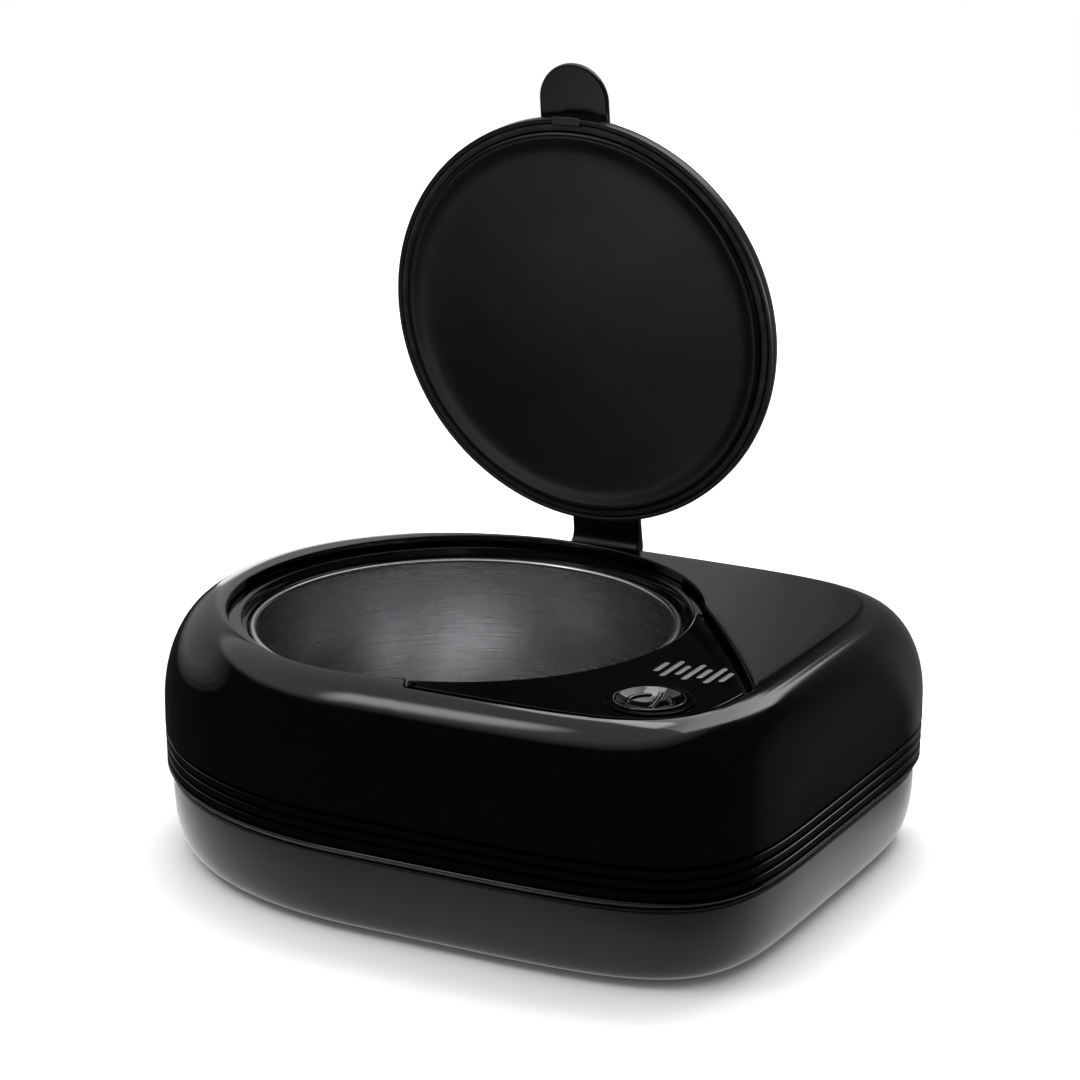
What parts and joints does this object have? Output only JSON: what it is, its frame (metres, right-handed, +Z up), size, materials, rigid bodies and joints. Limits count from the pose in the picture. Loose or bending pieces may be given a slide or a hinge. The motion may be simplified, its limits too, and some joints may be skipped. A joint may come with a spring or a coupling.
{
  "type": "ultrasonic cleaner",
  "caption": "Small ultrasonic cleaner: a gloss black rounded body with a round stainless bath, a sunken control leaf with a power button and indicator bars, and a hinged lid standing open.",
  "frame": {"origin": "on the table, under the middle of the body", "axes": "+Z up, +X to the right of the user, with the control corner; -Y to the front and +Y to the back, where the lid is hinged"},
  "size_m": [0.1399, 0.1133, 0.1462],
  "materials": {
    "gloss_black": "polished injection-moulded plastic",
    "satin_black": "satin",
    "satin_grey": "satin",
    "stainless": "drawn and polished",
    "silicone": "matte silicone",
    "rubber": "matte",
    "light_guide": "frosted, translucent",
    "steel": "zinc plated",
    "aluminium": "extruded",
    "copper": "enamelled copper wire",
    "board_green": "solder mask",
    "piezo_ceramic": "fired ceramic",
    "epoxy": "cured",
    "ferrite": "sintered",
    "capacitor_sleeve": "shrunk sleeve",
    "wire_red": "insulation",
    "wire_black": "insulation",
    "label_silver": "blank printed label"
  },
  "bodies": {
    "housing": {"upper_housing": "gloss_black", "lower_housing": "satin_grey", "control_bezel": "gloss_black", "button_ring": "gloss_black", "tank_gasket": "silicone", "tank": "stainless", "hinge_pin": "steel", "tact_switch": "satin_black", "indicator_lens": "light_guide", "control_board": "board_green", "main_board": "board_green", "epoxy_bond": "epoxy", "piezo_disc": "piezo_ceramic", "piezo_lead_red": "wire_red", "piezo_lead_black": "wire_black", "dc_lead_red": "wire_red", "dc_lead_black": "wire_black", "board_cable": "wire_black", "drive_transformer": "ferrite", "inductor": "copper", "heatsink": "aluminium", "power_transistor": "satin_black", "capacitor_1": "capacitor_sleeve", "capacitor_2": "capacitor_sleeve", "dc_jack": "satin_black", "dc_jack_pin": "steel", "rating_plate": "label_silver", "foot_1": "rubber", "housing_screw_1": "steel", "board_screw_1": "steel", "foot_2": "rubber", "housing_screw_2": "steel", "board_screw_2": "steel", "foot_3": "rubber", "housing_screw_3": "steel", "board_screw_3": "steel", "foot_4": "rubber", "housing_screw_4": "steel", "board_screw_4": "steel", "control_screw_1": "steel", "control_screw_2": "steel", "indicator_led_1": "light_guide", "indicator_led_2": "light_guide", "indicator_led_3": "light_guide"},
    "lid": {"lid_shell": "gloss_black", "lid_liner": "satin_black", "lid_seal": "silicone"},
    "button": {"power_button": "gloss_black", "switch_plunger": "satin_black"}
  },
  "joints": [
    {"name": "lid_hinge", "type": "hinge", "parent": "housing", "child": "lid", "pos_m": [0, 0.0497, 0.04315], "axis": [1, 0, 0], "range_deg": [-10, 83.7]},
    {"name": "button_press", "type": "slide", "parent": "housing", "child": "button", "axis": [0, 0, -1], "range_m": [0, 0.0005], "stiffness_N_per_m": 600}
  ]
}
